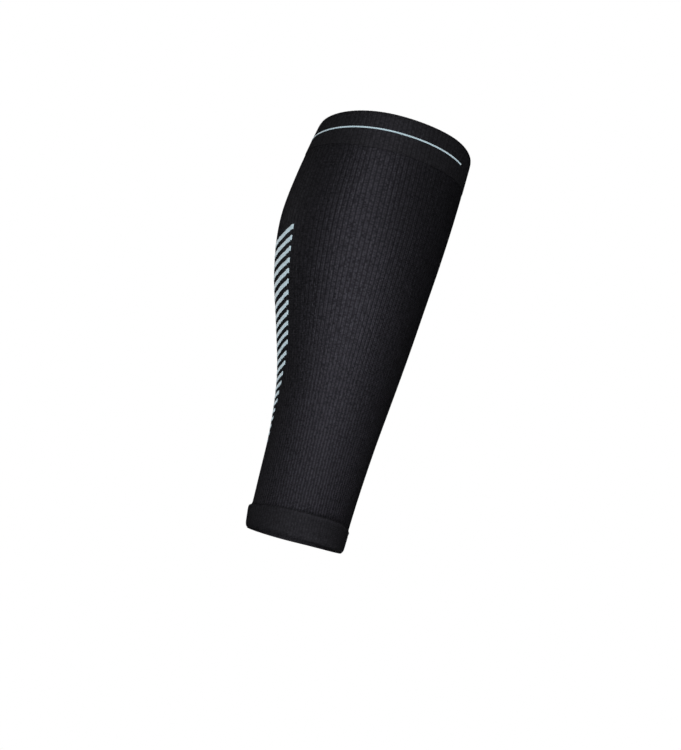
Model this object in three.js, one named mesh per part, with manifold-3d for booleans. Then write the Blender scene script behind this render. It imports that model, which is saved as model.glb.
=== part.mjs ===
// A footless football sock: a seamless knitted sleeve for the calf, in the form it takes on the leg.
// Millimetres, +Z up the leg, +X towards the shin, -X towards the back of the calf.
// The origin is on the leg's axis at the fullest girth of the calf.

import * as THREE from "three";
import Module from "manifold-3d";

const wasm = await Module();
wasm.setup();

// Outer face of the plain knit, a row for each section of the leg: its height above the ankle, its
// reach behind and in front of the leg's axis, its half width, and the share by which the shin half
// is narrower than the calf half.
const SECTIONS = [
  { height: 0, back: 39.8, front: 35.7, side: 32.5, taper: 0.04 },
  { height: 40, back: 40.0, front: 38.1, side: 33.3, taper: 0.05 },
  { height: 80, back: 40.8, front: 41.7, side: 37.0, taper: 0.06 },
  { height: 120, back: 45.6, front: 46.3, side: 43.0, taper: 0.08 },
  { height: 160, back: 56.3, front: 50.8, side: 50.2, taper: 0.1 },
  { height: 200, back: 67.7, front: 54.8, side: 57.4, taper: 0.1 },
  { height: 240, back: 73.2, front: 58.7, side: 62.4, taper: 0.1 },
  { height: 280, back: 69.5, front: 61.5, side: 62.8, taper: 0.08 },
  { height: 330, back: 60.0, front: 63.6, side: 58.8, taper: 0.05 },
];

const SEAT_HEIGHT = 250;

// Lines that run round the leg, as heights above the ankle at its two sides, at the shin and at the
// calf. The bend is how suddenly a line turns towards the shin.
const ANKLE_RIM = { side: -0.6, shin: -2.1, calf: 0.2, bend: 2 };
const ANKLE_WELT_EDGE = { side: 19.6, shin: 14.6, calf: 18.2, bend: 8 };
const TOP_WELT_EDGE = { side: 297.8, shin: 297.8, calf: 297.8, bend: 2 };
const STRIPE = { side: 313.8, shin: 310.9, calf: 309.8, bend: 4 };
const TOP_RIM = { side: 328.4, shin: 324.8, calf: 324.9, bend: 8 };

// Knit thicknesses, and how far each double welt stands proud of the tube
const TUBE_WALL = 1.5;
const TOP_WELT_WALL = 2.2;
const TOP_WELT_PROUD = 0.3;
const ANKLE_WELT_WALL = 2.4;
const ANKLE_WELT_PROUD = 1.0;
const WELT_SHOULDER = 0.7;

// Pale line in the top welt, broken at the shin
const STRIPE_WIDTH = 1.8;
const STRIPE_BREAK = THREE.MathUtils.degToRad(30);

// Ladder of pale bars up the back of the calf. Each bar's ends lift like a smile. Down the leg the
// bars come closer together, and below the taper's start they narrow towards a point. Thickness and
// lift are shares of the pitch.
const BAR_COUNT = 23;
const BAR_TOP = 221.5;
const BAR_PITCH = 8.65;
const BAR_PITCH_RATIO = 0.978;
const BAR_THICKNESS = 0.47;
const BAR_END_LIFT = 1.3;
const BAR_HALF_ANGLE = THREE.MathUtils.degToRad(34);
const BAR_TAPER_START = 134;
const BAR_TAPER_END = 50;

// Pale yarn lies in pockets of the dark knit, with the same gap all round as between other pieces
const PIECE_GAP = 0.3;
const INLAY_DEPTH = 0.5;
const POCKET_OVERCUT = 1;

// Facets
const COLUMNS = 48;
const TUBE_OUTER_ROWS = 20;
const TUBE_INNER_ROWS = 10;
const FOLD_STEPS = 4;
const COLUMN_ANGLE = (2 * Math.PI) / COLUMNS;

const DARK_KNIT = { color: 0x1b1b1e, roughness: 0.85, metalness: 0 };
const DARK_WELT = { color: 0x232326, roughness: 0.8, metalness: 0 };
const PALE_YARN = { color: 0xb4c6cf, roughness: 0.7, metalness: 0 };

const sections = new THREE.CubicInterpolant(
  SECTIONS.map((row) => row.height),
  SECTIONS.flatMap((row) => [row.back, row.front, row.side, row.taper]),
  4,
);

// Point beside the knit's outer face: angle from the shin, height, and distance out of the face.
// The section is an egg: x = mean cos + shift cos^2, y = side sin (1 - taper cos).
function knitPoint(angle, height, outset) {
  const [back, front, side, taper] = sections.evaluate(height);
  const mean = (front + back) / 2;
  const shift = (front - back) / 2;
  const cos = Math.cos(angle);
  const sin = Math.sin(angle);
  const along = new THREE.Vector2(
    -(mean + 2 * shift * cos) * sin,
    side * (cos - taper * Math.cos(2 * angle)),
  ).normalize();
  const x = mean * cos + shift * cos * cos + outset * along.y;
  const y = side * sin * (1 - taper * cos) - outset * along.x;
  return new THREE.Vector3(x, y, height);
}

function lineHeight({ side, shin, calf, bend }, angle) {
  const cos = Math.cos(angle);
  return side + (shin - side) * Math.max(cos, 0) ** bend + (calf - side) * Math.min(cos, 0) ** 2;
}

function closedGeometry(points, quads) {
  const geometry = new THREE.BufferGeometry().setFromPoints(points);
  geometry.setIndex(quads.flatMap(([a, b, c, d]) => [a, b, c, a, c, d]));
  return geometry;
}

// Closed wall swept round the leg from a closed profile, which runs up outside and down inside.
// Each profile point has its outset and its share of the way from the lower to the upper line.
function sweptRound(lower, upper, profile) {
  const rows = profile.length;
  const points = [];
  const quads = [];
  for (let column = 0; column < COLUMNS; column += 1) {
    const angle = column * COLUMN_ANGLE;
    const foot = lineHeight(lower, angle);
    const top = lineHeight(upper, angle);
    const start = column * rows;
    const next = ((column + 1) % COLUMNS) * rows;
    profile.forEach(({ outset, share }, row) => {
      const above = (row + 1) % rows;
      points.push(knitPoint(angle, THREE.MathUtils.lerp(foot, top, share), outset));
      quads.push([start + row, next + row, next + above, start + above]);
    });
  }
  return closedGeometry(points, quads);
}

// Closed plate laid in the knit through stations of one angle, lower edge and upper edge each.
function laidPlate(stations, inner, outer) {
  const points = [];
  const quads = [[0, 1, 2, 3]];
  stations.forEach(({ angle, low, high }, index) => {
    const start = index * 4;
    const next = start + 4;
    points.push(knitPoint(angle, low, inner), knitPoint(angle, low, outer));
    points.push(knitPoint(angle, high, outer), knitPoint(angle, high, inner));
    if (index === stations.length - 1) {
      quads.push([start + 3, start + 2, start + 1, start]);
      return;
    }
    for (let corner = 0; corner < 4; corner += 1) {
      const turned = (corner + 1) % 4;
      quads.push([start + corner, next + corner, next + turned, start + turned]);
    }
  });
  return closedGeometry(points, quads);
}

function solidFrom(geometry) {
  const vertProperties = new Float32Array(geometry.getAttribute("position").array);
  const triVerts = new Uint32Array(geometry.getIndex().array);
  return new wasm.Manifold(new wasm.Mesh({ numProp: 3, vertProperties, triVerts }));
}

function cutAway(geometry, tools) {
  const body = tools.reduce((rest, tool) => rest.subtract(solidFrom(tool)), solidFrom(geometry));
  const { vertProperties, triVerts } = body.getMesh();
  const result = new THREE.BufferGeometry();
  result.setAttribute("position", new THREE.BufferAttribute(vertProperties, 3));
  result.setIndex(new THREE.BufferAttribute(triVerts, 1));
  return result;
}

function piece(name, geometry, finish) {
  geometry.computeVertexNormals();
  const mesh = new THREE.Mesh(geometry, new THREE.MeshStandardMaterial(finish));
  mesh.name = name;
  return mesh;
}

// Rows of one face of the tube, evenly spaced between the two welts and a gap clear of each
function tubeRows(count, outset) {
  const clear = PIECE_GAP / (TOP_WELT_EDGE.side - ANKLE_WELT_EDGE.side);
  return Array.from({ length: count + 1 }, (_, row) => ({
    outset,
    share: THREE.MathUtils.lerp(clear, 1 - clear, row / count),
  }));
}

// Turned double welt, from its fold to the edge where it joins the tube: half round at the fold, with
// a rounded shoulder at the edge.
function turnedWelt({ fold, edge, wall, proud }) {
  const radius = wall / 2;
  const length = Math.abs(edge.side - fold.side);
  const corners = [];
  for (let step = 0; step <= FOLD_STEPS; step += 1) {
    const turn = Math.PI * (1 + step / FOLD_STEPS);
    const outset = proud - radius + radius * Math.cos(turn);
    corners.push({ outset, distance: radius + radius * Math.sin(turn) });
  }
  corners.push({ outset: proud, distance: length / 2 });
  corners.push({ outset: proud, distance: length - WELT_SHOULDER });
  corners.push({ outset: proud - WELT_SHOULDER, distance: length });
  corners.push({ outset: proud - wall, distance: length });
  corners.push({ outset: proud - wall, distance: length / 2 });
  const profile = corners.map(({ outset, distance }) => ({ outset, share: distance / length }));
  if (edge.side > fold.side) {
    return sweptRound(fold, edge, profile);
  }
  const turned = profile.reverse().map(({ outset, share }) => ({ outset, share: 1 - share }));
  return sweptRound(edge, fold, turned);
}

// Angles from one end of an inlay to the other, on the tube's own columns in between
function inlayAngles(from, to) {
  const clear = COLUMN_ANGLE / 4;
  const first = Math.ceil((from + clear) / COLUMN_ANGLE);
  const last = Math.floor((to - clear) / COLUMN_ANGLE);
  const between = [];
  for (let column = first; column <= last; column += 1) {
    between.push(column * COLUMN_ANGLE);
  }
  return [from, ...between, to];
}

// Stations of the welt's stripe, grown by a margin for its pocket
function stripeStations(margin) {
  const turn = margin / SECTIONS.at(-1).side;
  const half = STRIPE_WIDTH / 2 + margin;
  return inlayAngles(STRIPE_BREAK - turn, 2 * Math.PI - STRIPE_BREAK + turn).map((angle) => {
    const middle = lineHeight(STRIPE, angle);
    return { angle, low: middle - half, high: middle + half };
  });
}

// Stations of one bar of the ladder, grown by a margin for its pocket
function barStations({ top, pitch, half }, margin) {
  const turn = half + margin / SECTIONS[0].side;
  const thickness = BAR_THICKNESS * pitch;
  return inlayAngles(Math.PI - turn, Math.PI + turn).map((angle) => {
    const lift = BAR_END_LIFT * pitch * ((angle - Math.PI) / BAR_HALF_ANGLE) ** 2;
    return { angle, low: top + lift - thickness - margin, high: top + lift + margin };
  });
}

function ladderBars() {
  const bars = [];
  let top = BAR_TOP;
  let pitch = BAR_PITCH;
  for (let index = 0; index < BAR_COUNT; index += 1) {
    const share = (top - BAR_TAPER_END) / (BAR_TAPER_START - BAR_TAPER_END);
    bars.push({ top, pitch, half: BAR_HALF_ANGLE * Math.min(1, share) });
    top -= pitch;
    pitch *= BAR_PITCH_RATIO;
  }
  return bars;
}

const bars = ladderBars();
const pocketFloor = -INLAY_DEPTH - PIECE_GAP;

const tube = sweptRound(ANKLE_WELT_EDGE, TOP_WELT_EDGE, [
  ...tubeRows(TUBE_OUTER_ROWS, 0),
  ...tubeRows(TUBE_INNER_ROWS, -TUBE_WALL).reverse(),
]);
const barPockets = bars.map((bar) =>
  laidPlate(barStations(bar, PIECE_GAP), pocketFloor, POCKET_OVERCUT),
);

const topWelt = turnedWelt({
  fold: TOP_RIM,
  edge: TOP_WELT_EDGE,
  wall: TOP_WELT_WALL,
  proud: TOP_WELT_PROUD,
});
const stripePocket = laidPlate(
  stripeStations(PIECE_GAP),
  TOP_WELT_PROUD + pocketFloor,
  TOP_WELT_PROUD + POCKET_OVERCUT,
);
const stripe = laidPlate(stripeStations(0), TOP_WELT_PROUD - INLAY_DEPTH, TOP_WELT_PROUD);

const ankleWelt = turnedWelt({
  fold: ANKLE_RIM,
  edge: ANKLE_WELT_EDGE,
  wall: ANKLE_WELT_WALL,
  proud: ANKLE_WELT_PROUD,
});

const ladder = new THREE.Group();
bars.forEach((bar, index) => {
  const name = `calf_bar_${String(index + 1).padStart(2, "0")}`;
  ladder.add(piece(name, laidPlate(barStations(bar, 0), -INLAY_DEPTH, 0), PALE_YARN));
});

const sleeve = new THREE.Group();
sleeve.position.z = -SEAT_HEIGHT;
sleeve.add(
  piece("calf_tube", cutAway(tube, barPockets), DARK_KNIT),
  piece("top_welt", cutAway(topWelt, [stripePocket]), DARK_WELT),
  piece("welt_stripe", stripe, PALE_YARN),
  piece("ankle_welt", ankleWelt, DARK_WELT),
  ladder,
);

export default sleeve;
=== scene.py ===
# %% [markdown]
# A footless football sock is a seamless knitted sleeve for the calf, open at the knee and at the ankle.
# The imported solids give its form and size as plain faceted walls. This lesson knits over them: each piece
# is worked out as a surface of two parameters, round the sleeve and up it, and then gets a yarn finish.
# Heights are written in millimetres above the ankle, as a knitter would measure them.

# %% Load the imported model
import math

import bpy
import numpy as np
from mathutils import Matrix, Vector


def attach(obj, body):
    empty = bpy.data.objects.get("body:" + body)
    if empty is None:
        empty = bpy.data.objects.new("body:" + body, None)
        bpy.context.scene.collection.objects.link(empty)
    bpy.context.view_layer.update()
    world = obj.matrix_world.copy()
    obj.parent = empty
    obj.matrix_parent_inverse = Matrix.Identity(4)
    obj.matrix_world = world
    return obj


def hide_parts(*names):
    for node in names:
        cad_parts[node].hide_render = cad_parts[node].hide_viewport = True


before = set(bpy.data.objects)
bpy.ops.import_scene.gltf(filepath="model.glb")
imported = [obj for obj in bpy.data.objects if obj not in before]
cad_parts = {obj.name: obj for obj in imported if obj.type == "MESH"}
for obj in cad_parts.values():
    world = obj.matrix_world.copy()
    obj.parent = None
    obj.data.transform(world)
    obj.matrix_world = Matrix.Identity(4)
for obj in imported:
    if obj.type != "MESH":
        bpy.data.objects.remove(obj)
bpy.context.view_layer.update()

MM = 0.001

# %% [markdown]
# The sleeve is seen from its side, from a little below the ankle and looking up, so that every ring of
# the knit shows as an arch. The camera is rolled about its line of sight, which leans the sleeve to the
# right. An eye point, an aim point and a roll angle say this more plainly than three rotation angles.

# %% Camera
EYE = Vector((2.4, -1092.0, -309.4)) * MM
AIM = Vector((2.4, 0.0, -117.7)) * MM
ROLL = math.radians(13.76)
FOCAL_PIXELS = 1421.4
LONG_SIDE_PIXELS = 750

camera_data = bpy.data.cameras.new("camera")
camera_data.lens = camera_data.sensor_width * FOCAL_PIXELS / LONG_SIDE_PIXELS
camera = bpy.data.objects.new("camera", camera_data)
bpy.context.scene.collection.objects.link(camera)
level = (AIM - EYE).to_track_quat("-Z", "Y").to_matrix()
rolled = level @ Matrix.Rotation(ROLL, 3, "Z")
camera.matrix_world = Matrix.Translation(EYE) @ rolled.to_4x4()
bpy.context.scene.camera = camera
print("camera lens in mm:", round(camera_data.lens, 2))

# %% [markdown]
# The worn form comes from nine sections. Each has its reach behind and in front of the sleeve's axis, its
# half width, and a taper that makes the shin side narrower than the calf side. A smooth cubic joins the
# rows, so the table stays short and the silhouette has no corners.

# %% Form of the worn knit
SEAT_HEIGHT = 250.0
GIRTH_CHORDS = 360
# Columns: height, back, front, side, taper
SECTIONS = np.array([
    [0, 39.8, 35.7, 32.5, 0.04],
    [40, 40.0, 38.1, 33.3, 0.05],
    [80, 40.8, 41.7, 37.0, 0.06],
    [120, 45.6, 46.3, 43.0, 0.08],
    [160, 56.3, 50.8, 50.2, 0.10],
    [200, 67.7, 54.8, 57.4, 0.10],
    [240, 73.2, 58.7, 62.4, 0.10],
    [280, 69.5, 61.5, 62.8, 0.08],
    [330, 60.0, 63.6, 58.8, 0.05],
])
KNOTS, KNOT_VALUES = SECTIONS[:, 0], SECTIONS[:, 1:]


def knot_slopes():
    """Slope at each row: between its two neighbours, and at the ends the slope that leaves no curvature."""
    chords = np.diff(KNOT_VALUES, axis=0) / np.diff(KNOTS)[:, None]
    inner = (KNOT_VALUES[2:] - KNOT_VALUES[:-2]) / (KNOTS[2:] - KNOTS[:-2])[:, None]
    first = 1.5 * chords[0] - 0.5 * inner[0]
    last = 1.5 * chords[-1] - 0.5 * inner[-1]
    return np.vstack([first, inner, last])


KNOT_SLOPES = knot_slopes()


def section_at(height):
    """Back, front, side and taper at each height: a Hermite cubic of the values and slopes of the rows
    below and above it."""
    height = np.clip(height, KNOTS[0], KNOTS[-1])
    row = np.clip(np.searchsorted(KNOTS, height, side="right") - 1, 0, len(KNOTS) - 2)
    span = (KNOTS[row + 1] - KNOTS[row])[..., None]
    part = (height - KNOTS[row])[..., None] / span
    rest = 1 - part
    below = ((1 + 2 * part) * rest ** 2 * KNOT_VALUES[row]
             + part * rest ** 2 * span * KNOT_SLOPES[row])
    above = ((1 + 2 * rest) * part ** 2 * KNOT_VALUES[row + 1]
             - rest * part ** 2 * span * KNOT_SLOPES[row + 1])
    return np.moveaxis(below + above, -1, 0)


def knit_point(angle, height, outset):
    """Points beside the knit's outer face, in metres. The angle starts at the shin. The section is an egg:
    x = mean cos + shift cos^2 and y = side sin (1 - taper cos), moved out along its own normal."""
    angle, height, outset = np.broadcast_arrays(angle, height, outset)
    back, front, side, taper = section_at(height)
    mean, shift = (front + back) / 2, (front - back) / 2
    cos, sin = np.cos(angle), np.sin(angle)
    along_x = -(mean + 2 * shift * cos) * sin
    along_y = side * (cos - taper * np.cos(2 * angle))
    speed = np.hypot(along_x, along_y)
    x = mean * cos + shift * cos ** 2 + outset * along_y / speed
    y = side * sin * (1 - taper * cos) - outset * along_x / speed
    return np.stack([x, y, height - SEAT_HEIGHT], axis=-1) * MM


def girth_at(height):
    """Length of the section's outline at each height, in metres: the sum of short chords round it."""
    angle = np.linspace(0, 2 * np.pi, GIRTH_CHORDS + 1)
    ring = knit_point(angle[:, None], np.atleast_1d(height), 0)
    return np.linalg.norm(np.diff(ring, axis=0), axis=2).sum(axis=0)


print("girth in mm at ankle and calf:", np.round(girth_at([0.0, SEAT_HEIGHT]) / MM))

# %% [markdown]
# The rims, the edges of the welts and the pale line all run round the sleeve, and most of them aren't level:
# a worn sleeve is pulled up at its two sides and sags at the shin. Four numbers give each line: its height
# at the sides, at the shin and at the calf, and how suddenly it bends towards the shin.

# %% Lines round the sleeve
ANKLE_RIM = (-0.6, -2.1, 0.2, 2)
ANKLE_EDGE = (19.6, 14.6, 18.2, 8)
KNEE_EDGE = (297.8, 297.8, 297.8, 2)
PALE_LINE = (313.8, 310.9, 309.8, 4)
KNEE_RIM = (328.4, 324.8, 324.9, 8)


def line_height(line, angle):
    """Height of a line: the side's, and from it max(cos, 0)^bend of the way to the shin's height and
    min(cos, 0)^2 of the way to the calf's."""
    side, shin, calf, bend = line
    cos = np.cos(angle)
    return side + (shin - side) * np.maximum(cos, 0) ** bend + (calf - side) * np.minimum(cos, 0) ** 2


def between(lower, upper, angle, share):
    """Heights at a share of the way from the lower line to the upper one."""
    foot = line_height(lower, angle)
    return foot + (line_height(upper, angle) - foot) * share


print("length in mm at side, shin and calf:", np.subtract(KNEE_RIM, ANKLE_RIM)[:3].round(1))

# %% [markdown]
# Every knitted piece here is a grid whose rows run round a closed profile: up its outer face and down its
# inner face. A ring closes on itself round the sleeve, and a strip has two ends that are filled in. One
# helper turns such a grid into a mesh. It also stores a UV map that counts stitches, wales across and
# courses along, so that the yarn pattern follows the knit wherever the sleeve widens.

# %% From a grid of points to a knitted piece
NEEDLES = 216
COURSE = 1.35
STITCH_CREST = 0.25


def round_the_sleeve(columns):
    """Angles of even columns round the sleeve, and the count of wales at each and at the shin again."""
    return np.arange(columns) * 2 * np.pi / columns, np.arange(columns + 1) * NEEDLES / columns


def knitted_piece(name, points, wales, ring):
    """Mesh of a grid of points (columns, rows, 3). A quad joins (column, row), (column + 1, row),
    (column + 1, row + 1) and (column, row + 1), counted round the sleeve and round the profile."""
    columns, rows = points.shape[:2]
    across = columns if ring else columns - 1
    column, row = np.meshgrid(np.arange(across), np.arange(rows), indexing="ij")
    corner_column = np.stack([column, column + 1, column + 1, column], axis=-1)
    corner_row = np.stack([row, row, row + 1, row + 1], axis=-1)
    quads = ((corner_column % columns) * rows + corner_row % rows).reshape(-1, 4)
    steps = np.linalg.norm(np.diff(points, axis=1, append=points[:, :1]), axis=2).mean(axis=0)
    courses = np.append(0, np.cumsum(steps)) / (COURSE * MM)
    uv = np.stack([wales[corner_column], courses[corner_row]], axis=-1).reshape(-1, 2)
    if not ring:
        half = np.arange(rows // 2 - 1)
        lid = np.stack([half, half + 1, rows - 2 - half, rows - 1 - half], axis=-1)
        far_lid = (columns - 1) * rows + lid[:, ::-1]
        lid_uv = np.stack([np.full(lid.size, STITCH_CREST), courses[lid.ravel()]], axis=-1)
        quads = np.concatenate([quads, lid, far_lid])
        uv = np.concatenate([uv, lid_uv, lid_uv])

    mesh = bpy.data.meshes.new(name)
    mesh.vertices.add(columns * rows)
    mesh.vertices.foreach_set("co", points.ravel())
    mesh.loops.add(quads.size)
    mesh.loops.foreach_set("vertex_index", quads.ravel().astype(np.int32))
    mesh.polygons.add(len(quads))
    mesh.polygons.foreach_set("loop_start", np.arange(0, quads.size, 4, dtype=np.int32))
    mesh.uv_layers.new(name="stitches").data.foreach_set("uv", uv.ravel())
    mesh.update(calc_edges=True)
    mesh.shade_smooth()
    piece = bpy.data.objects.new(name, mesh)
    bpy.context.scene.collection.objects.link(piece)
    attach(piece, "root")
    print(name, "triangles:", 2 * len(quads))
    return piece


# %% [markdown]
# The knit is a fine rib: columns of raised stitches, called wales, with narrow grooves between them, and
# every second groove is deeper. A sine with its sign dropped gives round crowns and sharp grooves. No two
# wales are quite alike, so each rib also swells and sinks a little along its length.

# %% Ribs
RIBS = NEEDLES // 2
TUBE_DEPTH, WELT_DEPTH = 0.2, 0.14
CROWN_POWER = 0.7
RIB_UNEVEN = 0.25
UNEVEN_LENGTH = 23.0
PHASE_JUMP = 2.4


def rib_crown(angle, count):
    """Rib relief from 0 in a groove to 1 on a crown: |sin(count angle / 2)| to the crown power."""
    return np.abs(np.sin(count * angle / 2)) ** CROWN_POWER


def ribbing(angle):
    """Every needle's rib and every second needle's, half of each, from 0 to 1."""
    return (rib_crown(angle, NEEDLES) + rib_crown(angle, RIBS)) / 2


def tube_relief(angle, height):
    """Relief of the calf's rib about the plain face: depth times (ribbing evenness - 1/2). Evenness is a
    slow sine along each rib, whose phase jumps from rib to rib by the square of the rib's number."""
    rib = np.floor(RIBS * angle / (2 * np.pi))
    evenness = 1 + RIB_UNEVEN * np.sin(height / UNEVEN_LENGTH + PHASE_JUMP * rib ** 2)
    return TUBE_DEPTH * (ribbing(angle) * evenness - 0.5)


def welt_relief(angle, height):
    """Relief of a welt, whose ribs are even: depth times (ribbing - 1/2), the same at every height."""
    return WELT_DEPTH * (ribbing(angle) - 0.5) + 0 * height


def carried_round(lower, upper, angle, share, outset, relief, relief_share, slack=0):
    """Grid of a closed profile carried round the sleeve between two lines. A profile point is a share of
    the way up and an outset. The relief moves it along the profile's normal, and the slack straight out."""
    step_out = np.roll(outset, -1) - np.roll(outset, 1)
    step_up = (np.roll(share, -1) - np.roll(share, 1)) * (upper[0] - lower[0])
    length = np.hypot(step_out, step_up)
    column = angle[:, None]
    height = between(lower, upper, column, share)
    swell = relief(column, height) * relief_share
    return knit_point(column, height - swell * step_out / length, outset + slack + swell * step_up / length)


print("rib pitch in mm at ankle and calf:", np.round(girth_at([0.0, SEAT_HEIGHT]) / MM / RIBS, 1))

# %% [markdown]
# The calf tube is one layer of rib, a millimetre and a half thick, open at both ends. At the ankle it rises
# to the thicker welt that is linked to it. The linking holds the stitches flat at both ends, so the relief
# fades out there, and the rows crowd together to follow it.

# %% Calf tube
TUBE_COLUMNS = 6 * RIBS
TUBE_WALL = 1.5
TUBE_LENGTH = KNEE_EDGE[0] - ANKLE_EDGE[0]
TUBE_CLEAR = 0.06
ANKLE_RISE = 0.75
RISE_REACH, FLAT_REACH = 0.9, 1.5
INNER_RELIEF = 0.5
OUTER_ROWS, INNER_ROWS = 108, 24
CLOSE_ROWS = np.array([0, 0.3, 0.7, 1.2, 1.8])
EVEN_FROM = 2.8


def tube_rows(count):
    """Distances up the tube, from just clear of one welt to just clear of the other: even steps, with
    five closer rows at each end."""
    ends = TUBE_CLEAR + CLOSE_ROWS
    even = np.linspace(EVEN_FROM, TUBE_LENGTH - EVEN_FROM, count)
    return np.concatenate([ends, even, TUBE_LENGTH - ends[::-1]])


def near_ends(distance, reach):
    """Nearness to the ankle end and to the knee end: exp(-distance to that end / reach)."""
    to_ankle, to_knee = distance - TUBE_CLEAR, TUBE_LENGTH - TUBE_CLEAR - distance
    return np.exp(-to_ankle / reach), np.exp(-to_knee / reach)


outer_rows, inner_rows = tube_rows(OUTER_ROWS), tube_rows(INNER_ROWS)[::-1]
tube_distance = np.append(outer_rows, inner_rows)
outer_rise = ANKLE_RISE * near_ends(outer_rows, RISE_REACH)[0]
tube_outset = np.append(outer_rise, np.full(len(inner_rows), -TUBE_WALL))
tube_fade = np.repeat([1, INNER_RELIEF], [len(outer_rows), len(inner_rows)])
tube_fade = tube_fade * (1 - sum(near_ends(tube_distance, FLAT_REACH)))
tube_angle, tube_wales = round_the_sleeve(TUBE_COLUMNS)
tube_points = carried_round(
    ANKLE_EDGE, KNEE_EDGE, tube_angle, tube_distance / TUBE_LENGTH, tube_outset, tube_relief, tube_fade)
calf_knit = knitted_piece("calf_knit", tube_points, tube_wales, ring=True)
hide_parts("calf_tube")

# %% [markdown]
# Each end of the sleeve is a welt: the knit is turned back on itself and linked to its own wrong side, so
# it is twice as thick and its rim is a soft fold that curls in a little. At the ankle the linking row
# stands up as a small bead along the welt's edge, and at the back the outer layer stands off with a little
# slack. A closed profile carried round the sleeve gives both welts.

# %% Turned welts
WELT_COLUMNS = 4 * NEEDLES
FOLD_ROWS, FACE_ROWS, EDGE_ROWS, SHOULDER_ROWS, BACK_ROWS = 11, 16, 14, 5, 12
SHOULDER_SHARE = 0.35
CURL_REACH = 5.0
EDGE_REACH = 5.0
BEAD_WIDTH = 1.1
# Groove beside the bead: its distance from the edge in bead widths, and its share of the bead's height
GROOVE_PLACE, GROOVE_SHARE = 3, 0.5
SLACK_BEND = 4
SLACK_FADE = 3.5


def welt_face(distance, length, shoulder, curl, bead):
    """Outset of a welt's outer face by the distance from its fold. It curls in at the fold as a parabola,
    drops in a quarter round at the shoulder, and beside that has a bell-shaped bead and groove."""
    left = length - distance
    curled = curl * np.clip(1 - distance / CURL_REACH, 0, 1) ** 2
    drop = shoulder - np.sqrt(shoulder ** 2 - np.clip(shoulder - left, 0, shoulder) ** 2)
    raised = np.exp(-((left - BEAD_WIDTH) / (BEAD_WIDTH / 2)) ** 2)
    groove = np.exp(-((left - GROOVE_PLACE * BEAD_WIDTH) / BEAD_WIDTH) ** 2)
    return bead * (raised - GROOVE_SHARE * groove) - curled - drop


def slack_share(distance, length):
    """Share of the slack in a welt's outer face by the distance from its fold: a straight rise, which falls
    as a parabola to nothing at the edge."""
    return distance / length * (1 - np.clip(1 - (length - distance) / SLACK_FADE, 0, 1) ** 2)


def turned_welt(name, fold, edge, wall, proud, curl, bead, slack):
    """A welt's closed profile: half round at the fold, then its outer face up to the edge that joins the
    tube, then its inner face back to the fold. A welt whose fold is on top has its profile reversed. The
    slack of the outer face fades round the sleeve as min(cos, 0)^bend, so it is most at the back."""
    length = abs(edge[0] - fold[0])
    radius = (wall - curl) / 2
    shoulder = SHOULDER_SHARE * proud
    turn = np.linspace(np.pi, 2 * np.pi, FOLD_ROWS)
    face = np.concatenate([
        np.linspace(radius, length - EDGE_REACH, FACE_ROWS)[1:],
        np.linspace(length - EDGE_REACH, length - shoulder, EDGE_ROWS)[1:],
        length - shoulder + shoulder * np.sin(np.linspace(0, np.pi / 2, SHOULDER_ROWS))[1:]])
    back = np.linspace(length, radius, BACK_ROWS)[:-1]
    outset = proud + np.concatenate([
        radius * (np.cos(turn) + 1) - wall,
        welt_face(face, length, shoulder, curl, bead),
        np.full(len(back), -wall)])
    loose = np.concatenate([
        np.zeros(len(turn)), slack * slack_share(face, length), np.zeros(len(back))])
    share = np.concatenate([radius + radius * np.sin(turn), face, back]) / length
    lower, upper = fold, edge
    if edge[0] < fold[0]:
        lower, upper = edge, fold
        share, outset, loose = 1 - share[::-1], outset[::-1], loose[::-1]
    angle, wales = round_the_sleeve(WELT_COLUMNS)
    at_back = np.minimum(np.cos(angle), 0)[:, None] ** SLACK_BEND
    points = carried_round(lower, upper, angle, share, outset, welt_relief, 1, loose * at_back)
    return knitted_piece(name, points, wales, ring=True)


KNEE_PROUD = 0.3
knee_welt = turned_welt(
    "knee_welt", KNEE_RIM, KNEE_EDGE, wall=2.2, proud=KNEE_PROUD, curl=0.4, bead=0.0, slack=0.0)
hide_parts("top_welt")
ankle_hem = turned_welt(
    "ankle_hem", ANKLE_RIM, ANKLE_EDGE, wall=2.4, proud=1.0, curl=1.3, bead=0.2, slack=1.8)
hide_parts("ankle_welt")

# %% [markdown]
# The pale bars and the pale line are knitted in: on those stitches the machine brings a second yarn to the
# face. A patch of that yarn is a thin skin that follows the ribs just above the dark knit. Its edges can
# only step from needle to needle and from course to course, so they are given column by column.

# %% Pale yarn, knitted in
PATCH_ROWS = 9
PATCH_CLEAR, PATCH_EDGE, PATCH_CROWN = 0.03, 0.02, 0.16
PATCH_SQUARENESS = 6


def inlaid_patch(name, angle, low, high, relief, wales):
    """Skin between two edges over a row of angles. The share up the patch runs from 0 to 1 over its outer
    face and back under it. The outer face stands off by clear + edge + crown (1 - |2 share - 1|^s), where
    s is the squareness."""
    share = np.linspace(0, 1, PATCH_ROWS)
    outer = PATCH_EDGE + PATCH_CROWN * (1 - np.abs(2 * share - 1) ** PATCH_SQUARENESS)
    stand_off = PATCH_CLEAR + np.append(outer, np.zeros(PATCH_ROWS))
    height = low[:, None] + (high - low)[:, None] * np.append(share, share[::-1])
    points = knit_point(angle[:, None], height, relief(angle[:, None], height) + stand_off)
    return knitted_piece(name, points, wales, ring=False)


# %% [markdown]
# The ladder up the back of the calf has bars whose ends lift like a smile. Going down, each pitch is about
# two hundredths shorter than the one above, and below mid calf the bars narrow towards a point. The same
# few numbers as in the solids give every bar, so a loop can make them all.

# %% Ladder of bars
BAR_COUNT = 23
BAR_TOP, BAR_PITCH, BAR_PITCH_RATIO = 221.5, 8.65, 0.978
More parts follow.
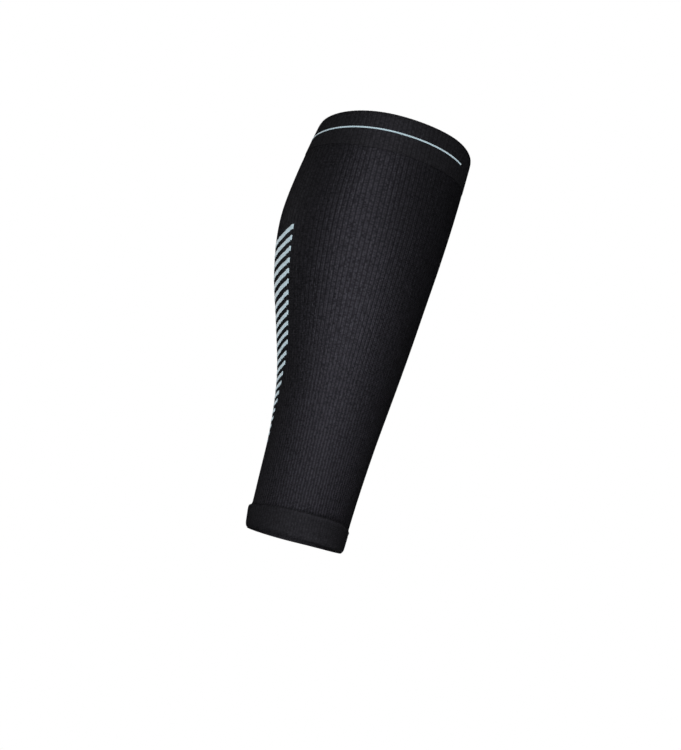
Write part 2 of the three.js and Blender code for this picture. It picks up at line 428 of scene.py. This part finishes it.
# Thickness and lift are shares of the pitch
BAR_THICKNESS, BAR_END_LIFT = 0.47, 1.3
BAR_HALF_ANGLE = math.radians(34)
BAR_TAPER_START, BAR_TAPER_END = 134.0, 50.0
NEEDLE_ANGLE = 2 * np.pi / NEEDLES
COLUMNS_PER_NEEDLE = TUBE_COLUMNS // NEEDLES


def ladder_bar(name, top, pitch):
    """One bar: its edges lift by end_lift pitch (angle / half_angle)^2, taken at each needle's middle and
    rounded to half courses. Its half width narrows in a straight line below the taper's start."""
    share = min(1.0, (top - BAR_TAPER_END) / (BAR_TAPER_START - BAR_TAPER_END))
    needles = max(1, round(share * BAR_HALF_ANGLE / NEEDLE_ANGLE))
    column = np.arange(-needles * COLUMNS_PER_NEEDLE, needles * COLUMNS_PER_NEEDLE + 1)
    needle = np.minimum(np.abs(column) // COLUMNS_PER_NEEDLE, needles - 1) + 0.5
    lift = BAR_END_LIFT * pitch * (needle * NEEDLE_ANGLE / BAR_HALF_ANGLE) ** 2
    high = top + np.round(2 * lift / COURSE) * COURSE / 2
    low = high - BAR_THICKNESS * pitch
    wales = column / COLUMNS_PER_NEEDLE
    return inlaid_patch(name, np.pi + wales * NEEDLE_ANGLE, low, high, tube_relief, wales)


bars = []
bar_top, bar_pitch = BAR_TOP, BAR_PITCH
for index in range(1, BAR_COUNT + 1):
    bars.append(ladder_bar(f"ladder_bar_{index:02d}", bar_top, bar_pitch))
    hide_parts(f"calf_bar_{index:02d}")
    bar_top, bar_pitch = bar_top - bar_pitch, bar_pitch * BAR_PITCH_RATIO

# %% [markdown]
# The line in the knee welt is two courses of the same pale yarn. It runs round the calf and stops short of
# the shin on both sides. Its edges swing out a little on each stitch.

# %% Line in the knee welt
LINE_WIDTH = 1.2
LINE_BREAK = math.radians(30)
LINE_SCALLOP = 0.15

line_start = math.ceil(LINE_BREAK / NEEDLE_ANGLE) * WELT_COLUMNS // NEEDLES
line_column = np.arange(line_start, WELT_COLUMNS - line_start + 1)
line_angle = line_column * 2 * np.pi / WELT_COLUMNS
line_middle = line_height(PALE_LINE, line_angle)
line_half = LINE_WIDTH / 2 + LINE_SCALLOP * (rib_crown(line_angle, NEEDLES) - 0.5)
welt_line = inlaid_patch(
    "knee_welt_line", line_angle, line_middle - line_half, line_middle + line_half,
    lambda angle, height: KNEE_PROUD + welt_relief(angle, height), line_column * NEEDLES / WELT_COLUMNS)
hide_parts("welt_stripe")

# %% [markdown]
# The whole sleeve is shown worn, so it is stretched. Taken off, this kind of knit is about a quarter
# narrower and keeps its length, so each piece's relaxed girth is worked out as the worn one taken in.

WORN_STRETCH = 1.35
GIRTH_ROWS = 40
cloths = [
    (calf_knit, ANKLE_EDGE, KNEE_EDGE, bars),
    (knee_welt, KNEE_EDGE, KNEE_RIM, [welt_line]),
    (ankle_hem, ANKLE_RIM, ANKLE_EDGE, []),
]
for cloth, lower, upper, on_it in cloths:
    relaxed = girth_at(np.linspace(lower[0], upper[0], GIRTH_ROWS)) / WORN_STRETCH

# %% [markdown]
# Yarn colours are written as sRGB hex values, as a dyer's card would give them, but a shader counts in
# linear light, so one function converts them. Another adds a node and fills its sockets with constants or
# links, and a third starts a material. With these three, a finish reads as a short list of steps.

# %% Helpers for the finishes
# Sockets of a mix node: its factor, and the two values or colours that it mixes
MIX_FACTOR, VALUE_A, VALUE_B, COLOUR_A, COLOUR_B = 0, 2, 3, 6, 7
# Outputs of a mix node
MIXED_VALUE, MIXED_COLOUR = 0, 2


def linear(hex_colour):
    """Linear colour of an sRGB hex value: each channel to the power 2.4 above the toe, as sRGB says."""
    srgb = np.array([int(hex_colour[i:i + 2], 16) for i in (1, 3, 5)]) / 255
    return (*np.where(srgb <= 0.04045, srgb / 12.92, ((srgb + 0.055) / 1.055) ** 2.4), 1.0)


def add_node(tree, kind, inputs, **settings):
    """Add one node and return its outputs. Settings are its properties, and inputs are values or other
    nodes' outputs by socket."""
    node = tree.nodes.new(kind)
    for name, value in settings.items():
        setattr(node, name, value)
    for socket, value in inputs.items():
        if isinstance(value, bpy.types.NodeSocket):
            tree.links.new(value, node.inputs[socket])
        else:
            node.inputs[socket].default_value = value
    return node.outputs


def start_finish(name, constants):
    """A new material and its surface node, with constants by socket."""
    material = bpy.data.materials.new(name)
    material.use_nodes = True
    surface = material.node_tree.nodes["Principled BSDF"]
    for socket, value in constants.items():
        surface.inputs[socket].default_value = value
    return material, surface


print("middle grey in linear light:", round(float(linear("#808080")[0]), 3))

# %% [markdown]
# A knit stitch shows as a V: two legs that lean together. On the stitch UV, a ping-pong across each wale
# gives the two legs, and a slower ping-pong added to the course count leans them. Their product is the
# relief of the yarn. Real courses here are about half a millimetre apart, too fine to show, so they are
# drawn more than twice as far apart.

# %% Relief of the stitches
LEG_WIDTH, HALF_WALE, HALF_COURSE = 0.25, 0.5, 0.5
LEG_LEAN = 2.0


def stitch_relief(tree, wale_count, course_count):
    """Relief of the yarn, from 0 between the legs to 1 on them. It is a product: ping-pong(wales, leg width)
    times ping-pong(courses + lean ping-pong(wales, half a wale), half a course)."""
    leg = add_node(tree, "ShaderNodeMath", {0: wale_count, 1: LEG_WIDTH}, operation="PINGPONG")[0]
    across = add_node(tree, "ShaderNodeMath", {0: wale_count, 1: HALF_WALE}, operation="PINGPONG")[0]
    leaning = add_node(
        tree, "ShaderNodeMath", {0: across, 1: LEG_LEAN, 2: course_count}, operation="MULTIPLY_ADD")[0]
    along = add_node(tree, "ShaderNodeMath", {0: leaning, 1: HALF_COURSE}, operation="PINGPONG")[0]
    strand = add_node(tree, "ShaderNodeMath", {0: leg, 1: along}, operation="MULTIPLY")[0]
    return add_node(
        tree, "ShaderNodeMapRange", {"Value": strand, "From Max": LEG_WIDTH * HALF_COURSE},
        interpolation_type="SMOOTHSTEP")[0]


print("courses drawn for each centimetre:", round(10 / COURSE, 1))

# %% [markdown]
# No stitch is pulled quite as tight as the next, so some catch more light. Noise on the stitch count gives
# these glints, and snapping the count to whole wales keeps each glint in its own column, as on a real knit.
# The glints make the yarn shinier and smoother, and they are also a painted highlight that makes its colour
# paler.
# Towards the ankle the sleeve is slim and its rib closes up, so that two wales show as one column. The
# course count tells the shader how far up the sleeve it is.

# %% Glints, partly painted
# Steps to which the stitch count is snapped: a whole wale across, and next to nothing along
ONE_WALE = (1.0, 0.01, 1.0)
# Noise for each wale and course: glints of about a stitch, and drifts of about five
GLINT_SCALE = (1.2, 0.8, 1.0)
DRIFT_SCALE = (0.9, 0.2, 1.0)
DRIFT_SHARE = 0.4
# Courses above the ankle up to which the rib is closed, and from which it is open
CLOSED_TO, OPEN_FROM = 35, 100
# Where it is closed and where it is open: the range of the cloud, and how broad a crown is
CLOSED_CLOUD, OPEN_CLOUD = (0.53, 0.75), (0.51, 0.89)
CLOSED_CROWN, OPEN_CROWN = 0.85, 0.75
# Half a rib in wales, and the rib's share in the ridge of a wale
HALF_RIB, RIB_SHARE = 1.0, 0.5


def wale_cloud(tree, stitches, closed):
    """Uneven light of the wales, from 0 to 1: fine noise plus a share of slow noise, both on the snapped
    stitch count, spread over a range that narrows where the rib is closed."""
    wale = add_node(tree, "ShaderNodeVectorMath", {0: stitches, 1: ONE_WALE}, operation="SNAP")[0]
    clouds = []
    for scale in (GLINT_SCALE, DRIFT_SCALE):
        drawn_out = add_node(tree, "ShaderNodeMapping", {"Vector": wale, "Scale": scale})[0]
        clouds.append(add_node(tree, "ShaderNodeTexNoise", {"Vector": drawn_out, "Scale": 1.0})[0])
    cloudy = add_node(
        tree, "ShaderNodeMath", {0: clouds[1], 1: DRIFT_SHARE, 2: clouds[0]}, operation="MULTIPLY_ADD")[0]
    darkest, brightest = [
        add_node(tree, "ShaderNodeMapRange", {"Value": closed, "To Min": opened, "To Max": shut})[0]
        for opened, shut in zip(OPEN_CLOUD, CLOSED_CLOUD)]
    return add_node(
        tree, "ShaderNodeMapRange", {"Value": cloudy, "From Min": darkest, "From Max": brightest})[0]


def rib_ridge(tree, wale_count, closed):
    """Crown of the rib, from 0 in a groove to 1. Where it is open, it is ping-pong(wales, half a wale) plus
    a share of ping-pong(wales, half a rib), and where it is closed, the second one alone."""
    across = add_node(tree, "ShaderNodeMath", {0: wale_count, 1: HALF_WALE}, operation="PINGPONG")[0]
    pair = add_node(tree, "ShaderNodeMath", {0: wale_count, 1: HALF_RIB}, operation="PINGPONG")[0]
    ridge = add_node(
        tree, "ShaderNodeMath", {0: pair, 1: RIB_SHARE, 2: across}, operation="MULTIPLY_ADD")[0]
    opened = add_node(tree, "ShaderNodeMapRange", {"Value": ridge, "From Max": OPEN_CROWN})[0]
    shut = add_node(tree, "ShaderNodeMapRange", {"Value": pair, "From Max": CLOSED_CROWN})[0]
    return add_node(
        tree, "ShaderNodeMix", {MIX_FACTOR: closed, VALUE_A: opened, VALUE_B: shut},
        data_type="FLOAT")[MIXED_VALUE]


print("rib closed up to", CLOSED_TO * COURSE, "mm of the tube, and open from", OPEN_FROM * COURSE)

# %% [markdown]
# A finish joins the relief and the glints. Where the relief is low, between the stitches, the colour is the
# ground colour: painted shade on the black knit, and the dark ground yarn on the pale one. The glints make
# the face yarn smoother and shinier, and a painted highlight makes it paler. Both together raise the surface
# as a bump, so that light catches the stitches without a mesh of that fineness.

# %% Knit finish
def knit_finish(name, pieces, ground_and_shade, yarn, painted_glint, fill, roughness, shine, stitch_depth, glint_share,
                closing, constants):
    """A knitted yarn. The stitch relief raises the yarn, and lets the darkest colour show where the relief
    is
    below fill: painted shade between the stitches of the black knit, and the dark ground yarn between the
    pale stitches. The glint is the cloud of a wale times the crown of its rib, from 0 in a groove to 1. It
    stands up by its share of the stitch depth, brings the colour towards the palest one as a painted
    highlight, and brings roughness and shine from their first value to their second. Closing is 1 for a rib
    that closes up towards the ankle, else 0."""
    material, surface = start_finish(name, constants)
    tree = material.node_tree
    stitches = add_node(tree, "ShaderNodeUVMap", {}, uv_map="stitches")[0]
    wale_count, course_count = add_node(tree, "ShaderNodeSeparateXYZ", {0: stitches})[:2]
    relief = stitch_relief(tree, wale_count, course_count)
    closed = add_node(
        tree, "ShaderNodeMapRange",
        {"Value": course_count, "From Min": CLOSED_TO, "From Max": OPEN_FROM,
         "To Min": closing, "To Max": 0.0})[0]
    cloud, crown = wale_cloud(tree, stitches, closed), rib_ridge(tree, wale_count, closed)
    glint = add_node(tree, "ShaderNodeMath", {0: cloud, 1: crown}, operation="MULTIPLY")[0]

    # Painted highlight: the glints paint the yarn's colour paler, towards the palest colour.
    yarn_with_painted_glint = add_node(
        tree, "ShaderNodeMix", {MIX_FACTOR: glint, COLOUR_A: linear(yarn), COLOUR_B: linear(painted_glint)},
        data_type="RGBA")[MIXED_COLOUR]
    # Painted shade: where the relief is low, between the stitches, the colour drops to the darkest colour;
    # on the pale yarn that is the dark ground yarn.
    filled = add_node(tree, "ShaderNodeMapRange", {"Value": relief, "From Max": fill})[0]
    colour = add_node(
        tree, "ShaderNodeMix", {MIX_FACTOR: filled, COLOUR_A: linear(ground_and_shade), COLOUR_B: yarn_with_painted_glint},
        data_type="RGBA")[MIXED_COLOUR]
    gloss, streak = [
        add_node(tree, "ShaderNodeMapRange", {"Value": glint, "To Min": plain, "To Max": bright})[0]
        for plain, bright in (roughness, shine)]
    height = add_node(
        tree, "ShaderNodeMath", {0: glint, 1: glint_share, 2: relief}, operation="MULTIPLY_ADD")[0]
    raised = add_node(
        tree, "ShaderNodeBump", {"Height": height, "Distance": stitch_depth * MM, "Strength": 1.0})[0]
    woven = {"Base Color": colour, "Roughness": gloss, "Specular IOR Level": streak, "Normal": raised}
    for socket, value in woven.items():
        tree.links.new(value, surface.inputs[socket])
    for piece in pieces:
        piece.data.materials.append(material)
    print(name, "on", len(pieces), "pieces")


# %% [markdown]
# The calf is knitted from black textured nylon over covered elastane. It is painted a deeper black in the
# grooves and between the stitches, as painted shade. The filaments are fine and slightly lustrous, so the
# crowns of the ribs pick up a soft grey light, partly from their shine and partly as a painted highlight in
# their colour.

# %% Black nylon rib
# Painted shade: the darkest colour, between the stitches. Painted highlight: the palest colour, on the
# crowns.
knit_finish(
    "black_nylon_rib_knit", [calf_knit],
    ground_and_shade="#09090a", yarn="#101011", painted_glint="#2b2b2e", fill=0.5,
    roughness=(0.5, 0.4), shine=(0.33, 1.0), stitch_depth=0.1, glint_share=1.2, closing=1.0,
    constants={"IOR": 1.5, "Specular Tint": linear("#ece8ff")})

# %% [markdown]
# The welts are the same nylon, knitted tighter and in two layers. Their face is smoother and closes over
# the grooves, so it looks a shade greyer and has no bright streaks. Like the calf, it has painted shade
# between its stitches and a painted highlight on its crowns.

# %% Black nylon welt
# Painted shade: the darkest colour, between the stitches. Painted highlight: the palest colour, on the
# crowns.
knit_finish(
    "black_nylon_welt_knit", [knee_welt, ankle_hem],
    ground_and_shade="#0c0c0d", yarn="#151516", painted_glint="#28282a", fill=0.4,
    roughness=(0.6, 0.54), shine=(0.35, 0.75), stitch_depth=0.08, glint_share=1.2, closing=0.0,
    constants={"IOR": 1.5, "Specular Tint": linear("#efecff")})

# %% [markdown]
# It is matt and slightly fuzzy,
# and the black ground shows as fine dark points between its stitches. A painted highlight makes its crowns
# a paler blue.

# %% Ice blue polyester
# Painted highlight: the palest colour, on the crowns.
knit_finish(
    "ice_blue_polyester_knit", [welt_line, *bars],
    ground_and_shade="#81969f", yarn="#cde6f1", painted_glint="#dff3fb", fill=0.22,
    roughness=(0.75, 0.65), shine=(0.25, 0.35), stitch_depth=0.06, glint_share=0.5, closing=0.0,
    constants={"IOR": 1.5, "Sheen Weight": 0.8, "Sheen Roughness": 0.4})

# %% [markdown]
# A product picture like this one is taken in a white room. The white walls light the pale yarn evenly from
# all sides, and soft lights near the camera, one low, one high and a weak one at the left, lay a broad
# sheen down the middle of the black knit. Grids on them keep the beams on the calf, so the ankle stays
# darker. The walls are kept out of the sheen, so that the edges of the sleeve stay dark, and a faint light
# from behind at the left lifts the calf's own edge a little. A soft light behind gives the far side the
# same sheen.

# %% Light
CALF = Vector((0, 0, 0))
SOFTBOX_SIZE = 0.9
GRID_ANGLE = math.radians(40)
WALL_LIGHT, WHITE = (0.62, 0.62, 0.62, 1), (1, 1, 1, 1)


def softbox(name, place, watts):
    """Square light at a place in metres, turned to the calf, with a grid that narrows its beam."""
    light = bpy.data.lights.new(name, "AREA")
    light.size = SOFTBOX_SIZE
    light.spread = GRID_ANGLE
    light.energy = watts
    lamp = bpy.data.objects.new(name, light)
    lamp.location = place
    lamp.rotation_euler = (CALF - Vector(place)).to_track_quat("-Z", "Y").to_euler()
    bpy.context.scene.collection.objects.link(lamp)


softbox("low_softbox", (0.5, -1.5, -0.75), 0.91)
softbox("high_softbox", (-0.25, -1.5, 0.6), 0.42)
softbox("left_softbox", (-0.8, -1.5, -0.3), 0.22)
softbox("rim_softbox", (-1.4, 0.6, 0.3), 0.06)
softbox("back_softbox", (0.0, 1.6, 0.0), 0.85)

studio = bpy.data.worlds.new("white_studio")
studio.use_nodes = True
seen = add_node(studio.node_tree, "ShaderNodeLightPath", {})["Is Camera Ray"]
shade = add_node(
    studio.node_tree, "ShaderNodeMix", {MIX_FACTOR: seen, COLOUR_A: WALL_LIGHT, COLOUR_B: WHITE},
    data_type="RGBA")[MIXED_COLOUR]
studio.node_tree.links.new(shade, studio.node_tree.nodes["Background"].inputs["Color"])
bpy.context.scene.world = studio
studio.cycles_visibility.glossy = False
bpy.context.scene.view_settings.view_transform = "Standard"

# %% [markdown]
# The sleeve is shown free of any stand, so the floor lies well below it. It is a plain white sheet that
# meets the white surroundings without a line.

# %% Floor
FLOOR_DEPTH, FLOOR_HALF = 1.2, 30.0
floor_mesh = bpy.data.meshes.new("floor")
corners = np.array([[-1, -1], [1, -1], [1, 1], [-1, 1]]) * FLOOR_HALF
floor_mesh.from_pydata(np.column_stack([corners, np.full(4, -FLOOR_DEPTH)]).tolist(), [], [[0, 1, 2, 3]])
floor = bpy.data.objects.new("floor", floor_mesh)
bpy.context.scene.collection.objects.link(floor)
floor.visible_diffuse = floor.visible_glossy = False
paper, _ = start_finish("white_paper_sweep", {
    "Base Color": linear("#000000"), "Specular IOR Level": 0.0,
    "Emission Color": linear("#ffffff"), "Emission Strength": 1.0})
floor_mesh.materials.append(paper)
print("floor at", -FLOOR_DEPTH, "m")
